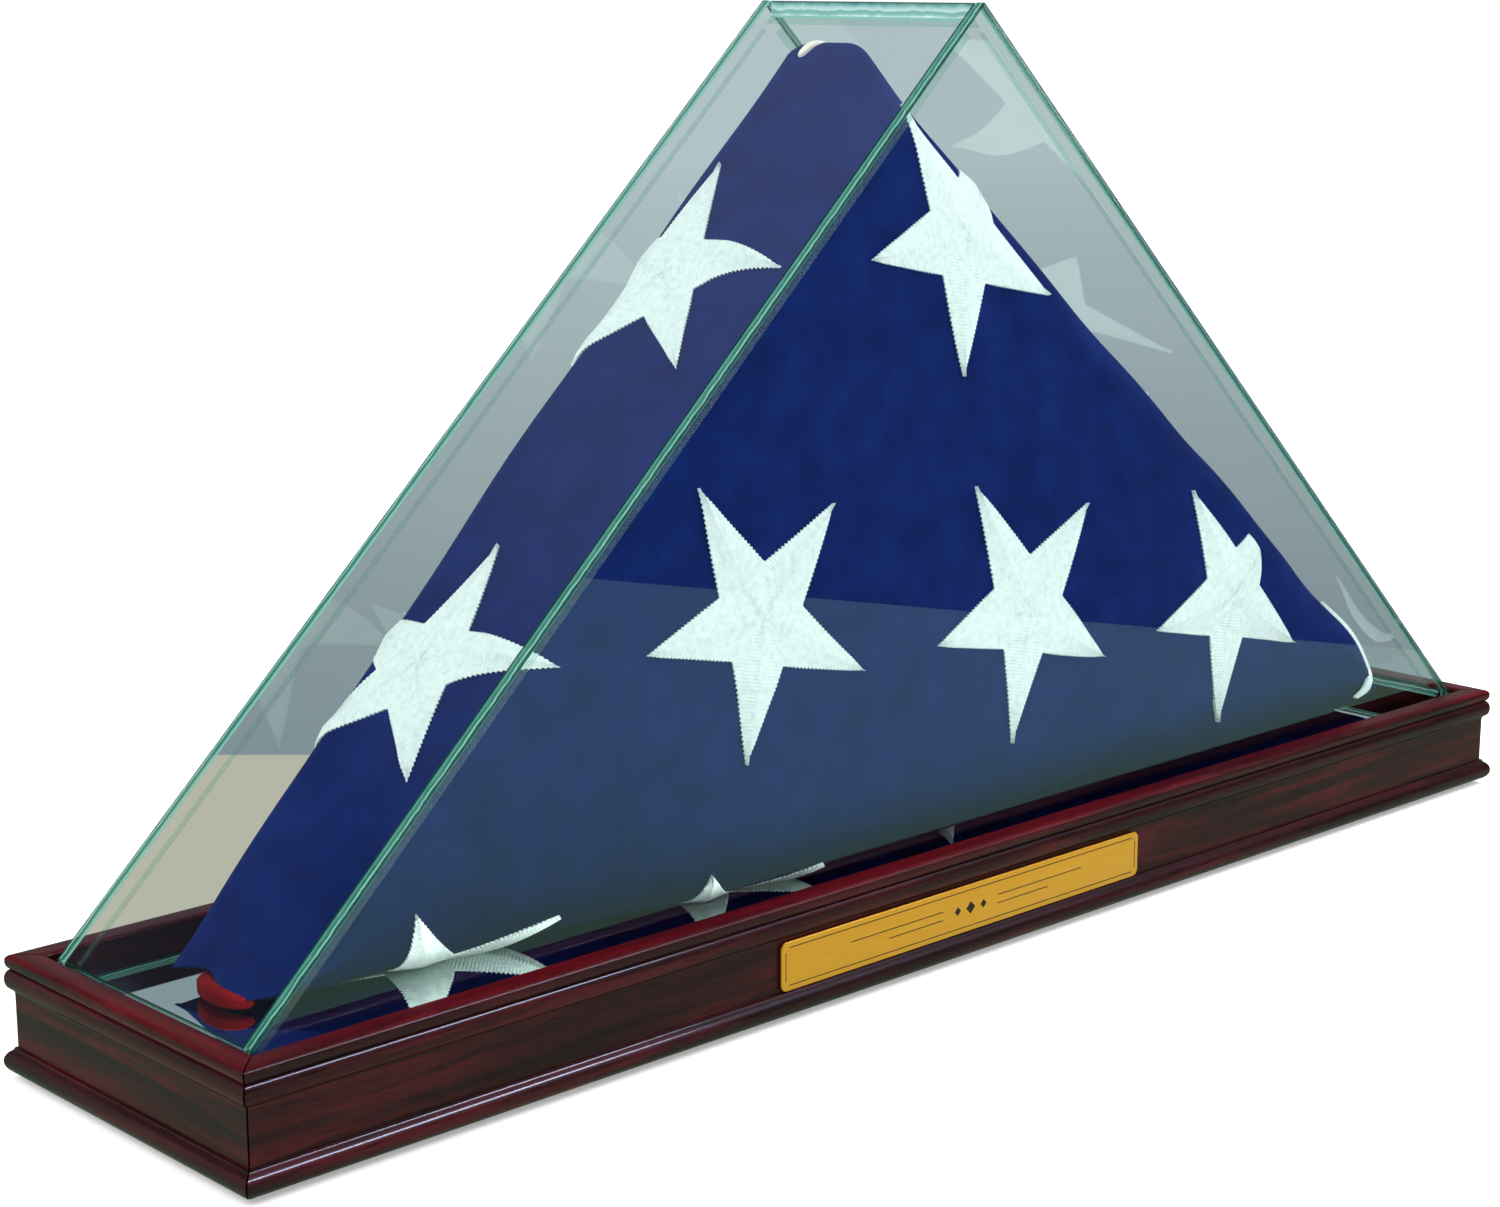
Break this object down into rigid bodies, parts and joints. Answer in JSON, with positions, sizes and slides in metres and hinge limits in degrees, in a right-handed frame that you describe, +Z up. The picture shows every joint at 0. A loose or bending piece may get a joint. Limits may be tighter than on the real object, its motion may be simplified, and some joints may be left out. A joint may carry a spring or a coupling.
{
  "type": "folded flag display case",
  "caption": "Low triangular glass display case on a moulded dark cherry base with a mirror floor and a name plate, holding a flag folded into a triangle.",
  "frame": {"origin": "on the surface the case stands on, below the middle of the base", "axes": "+X along the long side to the right, +Y to the back, +Z up; the name plate faces -Y"},
  "size_m": [0.616, 0.133, 0.322],
  "materials": {
    "cherry": "dark cherry stain under satin lacquer",
    "pine": "bare sawn softwood",
    "fibreboard": "raw medium density fibreboard",
    "steel": "bright drawn steel",
    "rubber": "matte black moulded rubber",
    "mirror": "silvered float glass",
    "tape": "white foam adhesive tape",
    "brass": "satin lacquered brass",
    "glass": "clear float glass with green polished edges",
    "sealant": "clear cured sealant",
    "blue_cloth": "plain woven navy cotton"
  },
  "bodies": {
    "base": {"base_rail_front": "cherry", "base_rail_back": "cherry", "base_rail_left": "cherry", "base_rail_right": "cherry", "corner_nail_front_left": "steel", "corner_nail_front_right": "steel", "corner_nail_back_left": "steel", "corner_nail_back_right": "steel", "support_strip_front": "pine", "support_strip_back": "pine", "support_strip_left": "pine", "support_strip_right": "pine", "brad_front_1": "steel", "brad_front_2": "steel", "brad_front_3": "steel", "brad_back_1": "steel", "brad_back_2": "steel", "brad_back_3": "steel", "brad_left": "steel", "brad_right": "steel", "corner_block_front_left": "pine", "corner_block_front_right": "pine", "corner_block_back_left": "pine", "corner_block_back_right": "pine", "rubber_foot_front_left": "rubber", "rubber_foot_front_right": "rubber", "rubber_foot_back_left": "rubber", "rubber_foot_back_right": "rubber", "floor_board": "fibreboard", "mirror_floor": "mirror", "name_plate_tape": "tape", "name_plate": "brass", "folded_flag": "blue_cloth"},
    "glass_cover": {"glass_front": "glass", "glass_back": "glass", "glass_left": "glass", "glass_right": "glass", "sealant_front_left": "sealant", "sealant_front_right": "sealant", "sealant_back_left": "sealant", "sealant_back_right": "sealant", "sealant_ridge": "sealant"}
  },
  "joints": [
    {"name": "cover_lift", "type": "slide", "parent": "base", "child": "glass_cover", "axis": [0, 0, 1], "range_m": [0, 0.3]}
  ]
}
